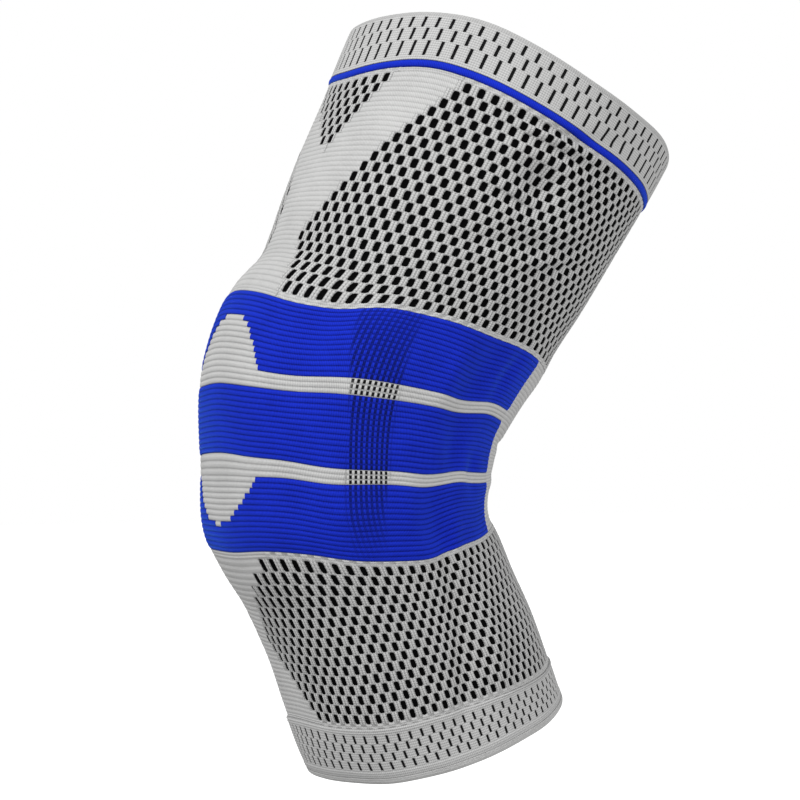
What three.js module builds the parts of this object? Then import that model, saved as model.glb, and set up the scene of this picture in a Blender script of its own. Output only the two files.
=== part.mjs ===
// Knee sleeve: one knitted tube with zones of different stitch, kept in the form of the bent knee that fills it.
// Millimetres, +Z up. The origin is the knee's centre on the leg's axis. The kneecap faces -Y.
// A place on the sleeve is given by two numbers: along, the distance from the origin on the leg's axis (up the thigh
// is positive), and angle, in degrees round the leg from the middle of the front (0) by the +X side (90) to the back.
import * as THREE from "three";

// How far the sleeve reaches along the leg's axis from the knee's centre, at the leg's side.
const THIGH_REACH = 161;
const CALF_REACH = 139;

// The leg's half width across, seen from the front.
const THIGH_RADIUS = 69;
const KNEE_RADIUS = 58;
const CALF_RADIUS = 54;

// Degrees that the thigh and the calf lean from upright.
const THIGH_LEAN = 31;
const CALF_LEAN = 23;

// Heights of the zones at the leg's side.
const TOP_CUFF_HEIGHT = 21;
const STRIPE_HEIGHT = 3.2;
const UPPER_BAND_HEIGHT = 30;
const MIDDLE_BAND_HEIGHT = 27;
const LOWER_BAND_HEIGHT = 30;
const UPPER_DIVIDER_HEIGHT = 6;
const LOWER_DIVIDER_HEIGHT = 5;
const BOTTOM_CUFF_HEIGHT = 20;
const HEM_HEIGHT = 3;

// The pale domes above and below the kneecap, and the pointed mesh inset in the thigh's front.
const UPPER_DOME_RISE = 13;
const LOWER_DOME_RISE = 11;
const DOME_MIDDLE = 6;
const DOME_HALF_ANGLE = 22;
const INSET_DEPTH = 35;
const INSET_LEFT = -20;
const INSET_TIP = 10;
const INSET_RIGHT = 29;

// The bands end this many degrees from the front, and the plain panel behind the knee lies between their ends.
const BAND_HALF_ANGLE = 134;

// Wall thickness of each knit, and how proud of the leg's form its face stands.
const PANEL_WALL = 1.6;
const BACK_WALL = 1.4;
const DIVIDER_WALL = 1.9;
const BAND_WALL = 2.3;
const CUFF_WALL = 2.4;
const HEM_WALL = 3;
const BAND_PROUD = 0.5;
const CUFF_PROUD = 0.6;
const HEM_PROUD = 0.9;

// The gap left at each seam between two zones, and the depth of the deepest fold.
const SEAM_GAP = 0.3;
const FOLD_DEPTH = 2.4;

// The leg's sections from the bottom up. along is a share of reach; front, back and side are shares of radius.
const SECTIONS = [
  { reach: CALF_REACH, along: -1.03, radius: CALF_RADIUS, front: 0.97, back: 1.05, side: 0.97 },
  { reach: CALF_REACH, along: -0.9, radius: CALF_RADIUS, front: 1.02, back: 1.06, side: 0.98 },
  { reach: CALF_REACH, along: -0.72, radius: CALF_RADIUS, front: 1.01, back: 1.06, side: 1 },
  { reach: CALF_REACH, along: -0.58, radius: CALF_RADIUS, front: 0.99, back: 1.03, side: 1 },
  { reach: CALF_REACH, along: -0.475, radius: CALF_RADIUS, front: 0.995, back: 1.02, side: 1 },
  { reach: CALF_REACH, along: -0.39, radius: CALF_RADIUS, front: 1.02, back: 0.995, side: 1.01 },
  { reach: CALF_REACH, along: -0.3, radius: KNEE_RADIUS, front: 1.03, back: 0.975, side: 0.95 },
  { reach: CALF_REACH, along: -0.23, radius: KNEE_RADIUS, front: 1.09, back: 1.03, side: 0.965 },
  { reach: CALF_REACH, along: -0.11, radius: KNEE_RADIUS, front: 1.07, back: 1.05, side: 0.985 },
  { reach: THIGH_REACH, along: 0.06, radius: KNEE_RADIUS, front: 1.17, back: 1.07, side: 1 },
  { reach: THIGH_REACH, along: 0.19, radius: KNEE_RADIUS, front: 1.17, back: 1.09, side: 1.02 },
  { reach: THIGH_REACH, along: 0.28, radius: KNEE_RADIUS, front: 1.09, back: 1.11, side: 1.035 },
  { reach: THIGH_REACH, along: 0.355, radius: KNEE_RADIUS, front: 1.11, back: 1.14, side: 1.05 },
  { reach: THIGH_REACH, along: 0.43, radius: THIGH_RADIUS, front: 0.965, back: 0.955, side: 0.9 },
  { reach: THIGH_REACH, along: 0.57, radius: THIGH_RADIUS, front: 1.015, back: 0.985, side: 0.93 },
  { reach: THIGH_REACH, along: 0.76, radius: THIGH_RADIUS, front: 1.06, back: 1.01, side: 0.96 },
  { reach: THIGH_REACH, along: 0.95, radius: THIGH_RADIUS, front: 1.11, back: 1.035, side: 0.98 },
  { reach: THIGH_REACH, along: 1.07, radius: THIGH_RADIUS, front: 1.12, back: 1.04, side: 0.99 },
];

// The bend's ends above and below the knee's centre, as shares of the knee's radius.
const BEND = { above: 0.78, below: 1.12 };

// Lines across the sleeve and heights of the zones at five places round it, as shares of their value at the side.
const PROFILES = {
  topRim: { front: 0.937, quarter: 0.99, side: 1, rear: 1.044, back: 1.063 },
  topCuff: { front: 1.16, quarter: 1.05, side: 1, rear: 1.02, back: 0.92 },
  upperBand: { front: 0.67, quarter: 0.67, side: 1, rear: 0.9, back: 0.87 },
  upperDivider: { front: 0.67, quarter: 0.67, side: 1, rear: 1.17, back: 1.17 },
  middleBand: { front: 0.56, quarter: 0.66, side: 1, rear: 1.63, back: 1.89 },
  kneeLine: { front: 0.71, quarter: 0.82, side: 1, rear: 1.18, back: 1.29 },
  lowerDivider: { front: 1, quarter: 0.85, side: 1, rear: 1.6, back: 1.6 },
  lowerBand: { front: 0.6, quarter: 0.67, side: 1, rear: 1, back: 1 },
  bottomCuff: { front: 1.2, quarter: 1.1, side: 1, rear: 0.8, back: 0.75 },
  bottomRim: { front: 0.935, quarter: 0.971, side: 1, rear: 1.02, back: 1.03 },
};

// Degrees between a profile's places: front, quarter, side, rear and back.
const PROFILE_STEP = 45;

// The middle band's lower edge at the leg's side, below the knee's centre, as a share of the knee's radius.
const KNEE_LINE_DROP = 0.29;

// Edges of the plain front panels in degrees: left on the -X side, right on the +X side.
// up is a share of the panel's height.
const THIGH_FRONT_EDGES = [
  { up: 0, left: -22, right: 25 },
  { up: 0.12, left: -16, right: 19 },
  { up: 0.3, left: -10, right: 14 },
  { up: 0.42, left: -9, right: 21 },
  { up: 0.58, left: -12, right: 31 },
  { up: 0.7, left: -21, right: 36 },
  { up: 0.8, left: -30, right: 42 },
  { up: 0.92, left: -38, right: 48 },
  { up: 1, left: -43, right: 52 },
];
const CALF_FRONT_EDGES = [
  { up: 0, left: -42, right: 18 },
  { up: 0.28, left: -28, right: 6 },
  { up: 0.5, left: -22, right: -2 },
  { up: 0.8, left: -26, right: 8 },
  { up: 1, left: -36, right: 29 },
];

// Folds and dents. reach, along and angle place the middle; turn is the fold's direction in degrees from the leg's
// axis towards the +X side; length and width are shares of the knee's radius; depth is a share of FOLD_DEPTH, and
// a negative depth is a ridge.
const FOLDS = [
  { reach: THIGH_REACH, along: 0.69, angle: 90, turn: 0, length: 0.17, width: 0.17, depth: 1 },
  { reach: THIGH_REACH, along: 0.79, angle: 90, turn: 78, length: 0.32, width: 0.06, depth: 0.5 },
  { reach: THIGH_REACH, along: 0.75, angle: 82, turn: 70, length: 0.3, width: 0.06, depth: -0.35 },
  { reach: THIGH_REACH, along: 0.58, angle: 104, turn: 60, length: 0.3, width: 0.08, depth: 0.4 },
  { reach: THIGH_REACH, along: 0.66, angle: 112, turn: 25, length: 0.4, width: 0.1, depth: -0.35 },
  { reach: THIGH_REACH, along: 0.21, angle: 108, turn: 6, length: 0.36, width: 0.11, depth: 0.5 },
  { reach: THIGH_REACH, along: 0.12, angle: 49, turn: 10, length: 0.3, width: 0.13, depth: 0.35 },
  { reach: CALF_REACH, along: -0.04, angle: 108, turn: 0, length: 0.24, width: 0.09, depth: 0.5 },
  { reach: CALF_REACH, along: -0.29, angle: 99, turn: 0, length: 0.32, width: 0.11, depth: 0.5 },
  { reach: CALF_REACH, along: -0.6, angle: 94, turn: 16, length: 0.55, width: 0.11, depth: 0.6 },
  { reach: THIGH_REACH, along: 0.02, angle: 66, turn: 0, length: 0.95, width: 0.15, depth: -0.35 },
  { reach: THIGH_REACH, along: 0.02, angle: -66, turn: 0, length: 0.95, width: 0.15, depth: -0.35 },
  { reach: THIGH_REACH, along: 0.18, angle: -107, turn: -6, length: 0.34, width: 0.11, depth: 0.5 },
  { reach: CALF_REACH, along: -0.22, angle: -101, turn: 0, length: 0.3, width: 0.11, depth: 0.45 },
  { reach: CALF_REACH, along: -0.64, angle: -98, turn: -14, length: 0.5, width: 0.11, depth: 0.5 },
  { reach: THIGH_REACH, along: 0.6, angle: -112, turn: -30, length: 0.36, width: 0.12, depth: 0.45 },
  { reach: THIGH_REACH, along: 0.08, angle: 178, turn: 90, length: 0.5, width: 0.1, depth: 0.5 },
  { reach: CALF_REACH, along: -0.18, angle: 183, turn: 90, length: 0.5, width: 0.1, depth: 0.5 },
];

const radians = THREE.MathUtils.degToRad;
const mix = THREE.MathUtils.lerp;

// A smooth curve through points with growing x, flat at neither end.
function through(points, x) {
  const at = THREE.MathUtils.clamp(x, points[0].x, points.at(-1).x);
  let i = points.findIndex((p, k) => k > 0 && at <= p.x);
  if (i < 1) i = points.length - 1;
  const slope = (k) => (points[k + 1].y - points[k].y) / (points[k + 1].x - points[k].x);
  const tangent = (k) => {
    if (k === 0) return slope(0);
    if (k === points.length - 1) return slope(k - 1);
    const before = points[k].x - points[k - 1].x;
    const after = points[k + 1].x - points[k].x;
    return (slope(k - 1) * after + slope(k) * before) / (before + after);
  };
  const a = points[i - 1];
  const b = points[i];
  const h = b.x - a.x;
  const t = (at - a.x) / h;
  const start = a.y * (2 * t ** 3 - 3 * t ** 2 + 1) + tangent(i - 1) * h * (t ** 3 - 2 * t ** 2 + t);
  const end = b.y * (3 * t ** 2 - 2 * t ** 3) + tangent(i) * h * (t ** 3 - t ** 2);
  return start + end;
}

// A column of a table as points for through().
const column = (table, x, y) => table.map((row) => ({ x: x(row), y: y(row) }));

// The leg's form
const sectionAlong = (row) => row.reach * row.along;
const RADII = Object.fromEntries(
  ["front", "back", "side"].map((name) => [
    name,
    column(SECTIONS, sectionAlong, (row) => row.radius * row[name]),
  ]),
);

// The leg's lean at a place on its axis, in radians: forward below the knee, back above it.
function leanAt(along) {
  const share = THREE.MathUtils.smoothstep(along, -BEND.below * KNEE_RADIUS, BEND.above * KNEE_RADIUS);
  return radians(mix(-CALF_LEAN, THIGH_LEAN, share));
}

// The leg's axis, worked out in short steps from the knee's centre.
const AXIS_STEP = 0.5;
const axisPoints = new Map([[0, { y: 0, z: 0 }]]);
function axisStep(k) {
  if (axisPoints.has(k)) return axisPoints.get(k);
  const way = Math.sign(k);
  const before = axisStep(k - way);
  const lean = leanAt((k - way / 2) * AXIS_STEP);
  const point = {
    y: before.y + way * AXIS_STEP * Math.sin(lean),
    z: before.z + way * AXIS_STEP * Math.cos(lean),
  };
  axisPoints.set(k, point);
  return point;
}
function axisAt(along) {
  const k = Math.floor(along / AXIS_STEP);
  const share = along / AXIS_STEP - k;
  const a = axisStep(k);
  const b = axisStep(k + 1);
  return { y: mix(a.y, b.y, share), z: mix(a.z, b.z, share) };
}

// An angle brought to between half a turn one way and half a turn the other.
const FULL_TURN = 360;
const turned = (angle) => THREE.MathUtils.euclideanModulo(angle + FULL_TURN / 2, FULL_TURN) - FULL_TURN / 2;

// How far the folds sink the surface at a place.
function foldDepth(along, angle, radius) {
  let depth = 0;
  for (const fold of FOLDS) {
    const up = along - fold.reach * fold.along;
    const round = radius * radians(turned(angle - fold.angle));
    const turn = radians(fold.turn);
    const lengthwise = (up * Math.cos(turn) + round * Math.sin(turn)) / (fold.length * KNEE_RADIUS);
    const across = (round * Math.cos(turn) - up * Math.sin(turn)) / (fold.width * KNEE_RADIUS);
    depth += fold.depth * FOLD_DEPTH * Math.exp(-(lengthwise ** 2) - across ** 2);
  }
  return depth;
}

// A point of the sleeve: proud is its height over the leg's form, negative inside it.
function place(along, angle, proud) {
  const turn = radians(angle);
  const [front, back, side] = ["front", "back", "side"].map((name) => through(RADII[name], along));
  const deep = Math.cos(turn) > 0 ? front : back;
  const radius = Math.hypot(deep * Math.cos(turn), side * Math.sin(turn));
  const grow = 1 + (proud - foldDepth(along, angle, side)) / radius;
  const forward = deep * Math.cos(turn) * grow;
  const lean = leanAt(along);
  const axis = axisAt(along);
  return new THREE.Vector3(
    side * Math.sin(turn) * grow,
    axis.y - forward * Math.cos(lean),
    axis.z + forward * Math.sin(lean),
  );
}

// Lines across the sleeve
// A profile's share at an angle, the same on both sides of the leg.
function shareAt(profile, angle) {
  const { front, quarter, side, rear, back } = profile;
  const shares = [quarter, front, quarter, side, rear, back, rear];
  return through(shares.map((y, k) => ({ x: (k - 1) * PROFILE_STEP, y })), Math.abs(turned(angle)));
}

// A line that lies a zone's height over or under another one.
const shifted = (line, height, profile) => (angle) => line(angle) + height * shareAt(profile, angle);

const topRim = (angle) => THIGH_REACH * shareAt(PROFILES.topRim, angle);
const stripeTop = shifted(topRim, -TOP_CUFF_HEIGHT, PROFILES.topCuff);
const stripeBottom = (angle) => stripeTop(angle) - STRIPE_HEIGHT;
const kneeLine = (angle) => -KNEE_LINE_DROP * KNEE_RADIUS * shareAt(PROFILES.kneeLine, angle);
const middleBandTop = shifted(kneeLine, MIDDLE_BAND_HEIGHT, PROFILES.middleBand);
const upperDividerTop = shifted(middleBandTop, UPPER_DIVIDER_HEIGHT, PROFILES.upperDivider);
const upperBandTop = shifted(upperDividerTop, UPPER_BAND_HEIGHT, PROFILES.upperBand);
const lowerDividerBottom = shifted(kneeLine, -LOWER_DIVIDER_HEIGHT, PROFILES.lowerDivider);
const lowerBandBottom = shifted(lowerDividerBottom, -LOWER_BAND_HEIGHT, PROFILES.lowerBand);
const bottomRim = (angle) => -CALF_REACH * shareAt(PROFILES.bottomRim, angle);
const hemTop = (angle) => bottomRim(angle) + HEM_HEIGHT;
const bottomCuffTop = shifted(hemTop, BOTTOM_CUFF_HEIGHT, PROFILES.bottomCuff);

// How far a dome rises from its divider: a round arch near the middle of the front.
const DOME_POWER = 3;
function domeRise(rise, angle) {
  const share = Math.min(1, Math.abs(angle - DOME_MIDDLE) / DOME_HALF_ANGLE);
  return rise * (1 - share ** DOME_POWER);
}
const upperDome = (angle) => upperDividerTop(angle) + domeRise(UPPER_DOME_RISE, angle);
const lowerDome = (angle) => lowerDividerBottom(angle) - domeRise(LOWER_DOME_RISE, angle);

// How deep the inset's point hangs under the stripe at an angle along its top.
function insetDepth(angle) {
  if (angle <= INSET_LEFT || angle >= INSET_RIGHT) return 0;
  const corner = angle < INSET_TIP ? INSET_LEFT : INSET_RIGHT;
  return INSET_DEPTH * (1 - (angle - INSET_TIP) / (corner - INSET_TIP));
}

// An edge of a front panel at a share of its height.
const edgeAt = (table, side) => {
  const points = column(table, (row) => row.up, (row) => row[side]);
  return (up) => through(points, up);
};
const thighLeft = edgeAt(THIGH_FRONT_EDGES, "left");
const thighRight = edgeAt(THIGH_FRONT_EDGES, "right");
const calfLeft = edgeAt(CALF_FRONT_EDGES, "left");
const calfRight = edgeAt(CALF_FRONT_EDGES, "right");

// Half a seam's gap, as degrees round the leg.
const seamAngle = THREE.MathUtils.radToDeg(SEAM_GAP / 2 / Math.min(THIGH_RADIUS, KNEE_RADIUS, CALF_RADIUS));

// Shares from 0 to 1 in equal steps.
const steps = (count) => Array.from({ length: count + 1 }, (_, k) => k / count);

// Angles from the first stop to the last, in equal steps between stops.
function spread(stops, counts) {
  const angles = [stops[0]];
  counts.forEach((count, k) => {
    for (const share of steps(count).slice(1)) angles.push(mix(stops[k], stops[k + 1], share));
  });
  return angles;
}

// Walls
// One closed solid from two grids of points, its outer and its inner face. A ring's grid closes on itself.
function solid(outer, inner, ring) {
  const rows = outer.length;
  const columns = outer[0].length;
  const points = [...outer.flat(), ...inner.flat()];
  const out = (j, i) => j * columns + (i % columns);
  const into = (j, i) => rows * columns + out(j, i);
  const index = [];
  const quad = (a, b, c, d) => index.push(a, b, c, a, c, d);
  const last = ring ? columns : columns - 1;
  for (let i = 0; i < last; i++) {
    for (let j = 0; j < rows - 1; j++) {
      quad(out(j, i), out(j, i + 1), out(j + 1, i + 1), out(j + 1, i));
      quad(into(j, i + 1), into(j, i), into(j + 1, i), into(j + 1, i + 1));
    }
    quad(out(0, i + 1), out(0, i), into(0, i), into(0, i + 1));
    quad(out(rows - 1, i), out(rows - 1, i + 1), into(rows - 1, i + 1), into(rows - 1, i));
  }
  if (!ring) {
    for (let j = 0; j < rows - 1; j++) {
      quad(into(j, 0), out(j, 0), out(j + 1, 0), into(j + 1, 0));
      quad(out(j, last), into(j, last), into(j + 1, last), out(j + 1, last));
    }
  }
  const geometry = new THREE.BufferGeometry().setFromPoints(points);
  geometry.setIndex(index);
  geometry.computeVertexNormals();
  return geometry;
}

// The share of the wall that a rim's rounding takes off each face: none at its inner end (0), all of it at the rim (1).
const RIM_ROUNDING = 0.38;
const roundedBy = (share) => RIM_ROUNDING * (1 - Math.sqrt(1 - share ** 2));

// A zone's wall. rows are shares of its height; angleAt and alongAt place each crossing of its grid.
function zone({ rows, columns, angleAt, alongAt, wall, proud, ring, rounded }) {
  const face = (height) =>
    rows.map((up) =>
      columns.map((share) => {
        const angle = angleAt(share, up);
        const inset = rounded ? wall * roundedBy(rounded(up)) : 0;
        return place(alongAt(angle, up, share), angle, proud + height(inset));
      }),
    );
  return solid(face((inset) => -inset), face((inset) => inset - wall), ring);
}

// A zone between two lines that runs right round the leg.
function ringZone({ lower, upper, rows, columns, wall, proud = 0, rounded }) {
  return zone({
    rows,
    columns: steps(columns).slice(0, -1),
    angleAt: (share) => FULL_TURN * share,
    alongAt: (angle, up) => mix(lower(angle) + SEAM_GAP / 2, upper(angle) - SEAM_GAP / 2, up),
    wall,
    proud,
    ring: true,
    rounded,
  });
}

// A zone between two lines and two edges, each edge an angle that may change with the share of the height.
function patchZone({ lower, upper, left, right, rows, columns, wall, proud = 0, notch = () => 0 }) {
  return zone({
    rows,
    columns,
    angleAt: (share, up) => mix(left(up) + seamAngle, right(up) - seamAngle, share),
    alongAt: (angle, up, share) =>
      mix(lower(angle, up) + SEAM_GAP / 2, upper(angle, up) - SEAM_GAP / 2 - notch(share), up),
    wall,
    proud,
    ring: false,
  });
}

// Materials
const knit = (color, roughness) => new THREE.MeshStandardMaterial({ color, roughness, metalness: 0 });
const PALE_KNIT = knit("#c6c6c2", 0.9);
const MESH_KNIT = knit("#77777a", 0.92);
const BLUE_KNIT = knit("#1a2cc0", 0.82);
const CUFF_KNIT = knit("#b9b9b6", 0.9);

// Pieces
const RING_COLUMNS = 48;
const MESH_COLUMNS = 42;
const THIGH_ROWS = steps(11);
const CALF_ROWS = steps(8);

const sleeve = new THREE.Group();
function add(name, material, geometry) {
  const mesh = new THREE.Mesh(geometry, material);
  mesh.name = name;
  sleeve.add(mesh);
}

// The top cuff's last rows round over to the rim.
const TOP_ROUNDING_START = 0.88;
add(
  "top_cuff",
  CUFF_KNIT,
  ringZone({
    lower: stripeTop,
    upper: topRim,
    rows: [0, 0.45, TOP_ROUNDING_START, 0.96, 1],
    columns: RING_COLUMNS,
    wall: CUFF_WALL,
    proud: CUFF_PROUD,
    rounded: (up) => Math.max(0, (up - TOP_ROUNDING_START) / (1 - TOP_ROUNDING_START)),
  }),
);
add(
  "top_stripe",
  BLUE_KNIT,
  ringZone({
    lower: stripeBottom,
    upper: stripeTop,
    rows: steps(1),
    columns: RING_COLUMNS,
    wall: CUFF_WALL,
    proud: CUFF_PROUD,
  }),
);

// The plain front panel's columns run through the inset's two corners and its tip.
const topStops = [thighLeft(1), INSET_LEFT, INSET_TIP, INSET_RIGHT, thighRight(1)];
const topAngles = spread(topStops, [3, 4, 3, 3]);
const topShare = (angle) => (angle - topAngles[0]) / (topAngles.at(-1) - topAngles[0]);
add(
  "thigh_front_panel",
  PALE_KNIT,
  patchZone({
    lower: upperBandTop,
    upper: stripeBottom,
    left: thighLeft,
    right: thighRight,
    rows: THIGH_ROWS,
    columns: topAngles.map(topShare),
    wall: PANEL_WALL,
    notch: (share) => insetDepth(mix(topAngles[0], topAngles.at(-1), share)),
  }),
);
add(
  "thigh_mesh",
  MESH_KNIT,
  patchZone({
    lower: upperBandTop,
    upper: stripeBottom,
    left: thighRight,
    right: (up) => FULL_TURN + thighLeft(up),
    rows: THIGH_ROWS,
    columns: steps(MESH_COLUMNS),
    wall: PANEL_WALL,
  }),
);

// The inset starts a little above its point, so that it ends in a narrow edge.
const INSET_START = 0.04;
const insetShare = (up) => mix(INSET_START, 1, up);
const insetLine = (angle, up) => stripeBottom(angle) - INSET_DEPTH * (1 - insetShare(up));
add(
  "thigh_inset",
  MESH_KNIT,
  patchZone({
    lower: insetLine,
    upper: insetLine,
    left: (up) => mix(INSET_TIP, INSET_LEFT, insetShare(up)),
    right: (up) => mix(INSET_TIP, INSET_RIGHT, insetShare(up)),
    rows: steps(6),
    columns: steps(6),
    wall: PANEL_WALL,
  }),
);

// The bands and dividers over the knee share their columns, which lie closer over the domes.
const domeEnds = [DOME_MIDDLE - DOME_HALF_ANGLE, DOME_MIDDLE + DOME_HALF_ANGLE];
const bandAngles = spread([-BAND_HALF_ANGLE, ...domeEnds, BAND_HALF_ANGLE], [13, 12, 13]);
function kneeZone(name, material, lower, upper, rows, wall, proud) {
  add(
    name,
    material,
    patchZone({
      lower,
      upper,
      left: () => -BAND_HALF_ANGLE,
      right: () => BAND_HALF_ANGLE,
      rows: steps(rows),
      columns: bandAngles.map((angle) => (angle + BAND_HALF_ANGLE) / (2 * BAND_HALF_ANGLE)),
      wall,
      proud,
    }),
  );
}
kneeZone("knee_band_upper", BLUE_KNIT, upperDome, upperBandTop, 4, BAND_WALL, BAND_PROUD);
kneeZone("knee_divider_upper", PALE_KNIT, middleBandTop, upperDome, 2, DIVIDER_WALL, BAND_PROUD / 2);
kneeZone("knee_band_middle", BLUE_KNIT, kneeLine, middleBandTop, 4, BAND_WALL, BAND_PROUD);
kneeZone("knee_divider_lower", PALE_KNIT, lowerDome, kneeLine, 2, DIVIDER_WALL, BAND_PROUD / 2);
kneeZone("knee_band_lower", BLUE_KNIT, lowerBandBottom, lowerDome, 4, BAND_WALL, BAND_PROUD);
add(
  "back_panel",
  PALE_KNIT,
  patchZone({
    lower: lowerBandBottom,
    upper: upperBandTop,
    left: () => BAND_HALF_ANGLE,
    right: () => FULL_TURN - BAND_HALF_ANGLE,
    rows: steps(16),
    columns: steps(12),
    wall: BACK_WALL,
  }),
);
add(
  "calf_front_panel",
  PALE_KNIT,
  patchZone({
    lower: bottomCuffTop,
    upper: lowerBandBottom,
    left: calfLeft,
    right: calfRight,
    rows: CALF_ROWS,
    columns: steps(6),
    wall: PANEL_WALL,
  }),
);
add(
  "calf_mesh",
  MESH_KNIT,
  patchZone({
    lower: bottomCuffTop,
    upper: lowerBandBottom,
    left: calfRight,
    right: (up) => FULL_TURN + calfLeft(up),
    rows: CALF_ROWS,
    columns: steps(MESH_COLUMNS),
    wall: PANEL_WALL,
  }),
);
add(
  "bottom_cuff",
  CUFF_KNIT,
  ringZone({
    lower: hemTop,
    upper: bottomCuffTop,
    rows: steps(3),
    columns: RING_COLUMNS,
    wall: CUFF_WALL,
    proud: CUFF_PROUD,
  }),
);

// The hem is rounded from its crown down to the rim.
const HEM_CROWN = 0.6;
add(
  "bottom_hem",
  CUFF_KNIT,
  ringZone({
    lower: bottomRim,
    upper: hemTop,
    rows: [0, 0.25, HEM_CROWN, 1],
    columns: RING_COLUMNS,
    wall: HEM_WALL,
    proud: HEM_PROUD,
    rounded: (up) => Math.max(0, 1 - up / HEM_CROWN),
  }),
);

export default sleeve;
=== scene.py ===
"""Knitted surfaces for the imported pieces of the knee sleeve, their materials, the lights and the camera.

Sizes are millimetres and degrees until a mesh, a light or the camera is made, in metres and radians.
A place on the sleeve is given as in the part's source: along, the distance from the knee's centre on the
leg's axis, and angle, round the leg from the middle of the front (0) by the +X side (90) to the back.
The knit is counted in wales, which run up the leg, and rows, which run round it.
"""

import math

import bpy
import numpy as np
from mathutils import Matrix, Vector


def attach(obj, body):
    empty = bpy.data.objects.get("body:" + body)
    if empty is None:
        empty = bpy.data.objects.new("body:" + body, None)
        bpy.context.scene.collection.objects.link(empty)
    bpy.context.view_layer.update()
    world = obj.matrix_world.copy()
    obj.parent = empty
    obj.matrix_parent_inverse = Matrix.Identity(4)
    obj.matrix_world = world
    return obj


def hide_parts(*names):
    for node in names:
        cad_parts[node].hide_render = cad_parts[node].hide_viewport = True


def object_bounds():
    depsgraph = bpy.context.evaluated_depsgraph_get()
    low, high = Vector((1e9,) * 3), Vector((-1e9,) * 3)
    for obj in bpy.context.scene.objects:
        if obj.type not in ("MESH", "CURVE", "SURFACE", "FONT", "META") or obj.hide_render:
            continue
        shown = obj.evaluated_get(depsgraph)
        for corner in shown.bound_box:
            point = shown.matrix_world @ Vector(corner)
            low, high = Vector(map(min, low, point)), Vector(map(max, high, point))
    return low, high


MM = 0.001

# Reach, half widths and leans of the leg that fills the sleeve
THIGH_REACH = 161
CALF_REACH = 139
THIGH_RADIUS = 69
KNEE_RADIUS = 58
CALF_RADIUS = 54
THIGH_LEAN = 31
CALF_LEAN = 23

# Heights of the zones at the leg's side
TOP_CUFF_HEIGHT = 21
STRIPE_HEIGHT = 3.2
UPPER_BAND_HEIGHT = 30
MIDDLE_BAND_HEIGHT = 27
LOWER_BAND_HEIGHT = 30
UPPER_DIVIDER_HEIGHT = 6
LOWER_DIVIDER_HEIGHT = 5
BOTTOM_CUFF_HEIGHT = 20
HEM_HEIGHT = 3

# Domes over and under the kneecap, and the pointed mesh inset
UPPER_DOME_RISE = 13
LOWER_DOME_RISE = 11
DOME_MIDDLE = 6
DOME_HALF_ANGLE = 22
DOME_POWER = 2.3
INSET_DEPTH = 35
INSET_LEFT = -20
INSET_TIP = 10
INSET_RIGHT = 29

# Walls of each knit, and how proud of the leg's form its face stands
PANEL_WALL = 1.6
BACK_WALL = 1.4
DIVIDER_WALL = 1.9
BAND_WALL = 2.3
CUFF_WALL = 2.4
HEM_WALL = 3
BAND_PROUD = 0.5
CUFF_PROUD = 0.6
HEM_PROUD = 0.9

# The leg's sections: reach, along as a share of it, radius, and the front, back and side as shares of the
# radius
SECTIONS = (
    (CALF_REACH, -1.03, CALF_RADIUS, 0.97, 1.05, 0.97),
    (CALF_REACH, -0.9, CALF_RADIUS, 1.02, 1.06, 0.98),
    (CALF_REACH, -0.72, CALF_RADIUS, 1.01, 1.06, 1),
    (CALF_REACH, -0.58, CALF_RADIUS, 0.99, 1.03, 1),
    (CALF_REACH, -0.475, CALF_RADIUS, 0.995, 1.02, 1),
    (CALF_REACH, -0.39, CALF_RADIUS, 1.02, 0.995, 1.01),
    (CALF_REACH, -0.3, KNEE_RADIUS, 1.03, 0.975, 0.95),
    (CALF_REACH, -0.23, KNEE_RADIUS, 1.09, 1.03, 0.965),
    (CALF_REACH, -0.11, KNEE_RADIUS, 1.07, 1.05, 0.985),
    (THIGH_REACH, 0.06, KNEE_RADIUS, 1.17, 1.07, 1),
    (THIGH_REACH, 0.19, KNEE_RADIUS, 1.17, 1.09, 1.02),
    (THIGH_REACH, 0.28, KNEE_RADIUS, 1.09, 1.11, 1.035),
    (THIGH_REACH, 0.355, KNEE_RADIUS, 1.11, 1.14, 1.05),
    (THIGH_REACH, 0.43, THIGH_RADIUS, 0.965, 0.955, 0.9),
    (THIGH_REACH, 0.57, THIGH_RADIUS, 1.015, 0.985, 0.93),
    (THIGH_REACH, 0.76, THIGH_RADIUS, 1.06, 1.01, 0.96),
    (THIGH_REACH, 0.95, THIGH_RADIUS, 1.11, 1.035, 0.98),
    (THIGH_REACH, 1.07, THIGH_RADIUS, 1.12, 1.04, 0.99),
)

# The bend's ends above and below the knee's centre, as shares of the knee's radius
BEND_ABOVE = 0.78
BEND_BELOW = 1.12

# Shares of a line's or zone's value at the front, 45 degrees, the side, 135 degrees and the back
TOP_RIM_PROFILE = (0.937, 0.99, 1, 1.044, 1.063)
TOP_CUFF_PROFILE = (1.16, 1.05, 1, 1.02, 0.92)
UPPER_BAND_PROFILE = (0.67, 0.67, 1, 0.9, 0.87)
UPPER_DIVIDER_PROFILE = (0.67, 0.67, 1, 1.17, 1.17)
MIDDLE_BAND_PROFILE = (0.56, 0.66, 1, 1.63, 1.89)
KNEE_LINE_PROFILE = (0.71, 0.82, 1, 1.18, 1.29)
LOWER_DIVIDER_PROFILE = (1, 0.85, 1, 1.6, 1.6)
LOWER_BAND_PROFILE = (0.6, 0.67, 1, 1, 1)
BOTTOM_CUFF_PROFILE = (1.2, 1.1, 1, 0.8, 0.75)
BOTTOM_RIM_PROFILE = (0.935, 0.971, 1, 1.02, 1.03)
PROFILE_STEP = 45
KNEE_LINE_DROP = 0.29

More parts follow.
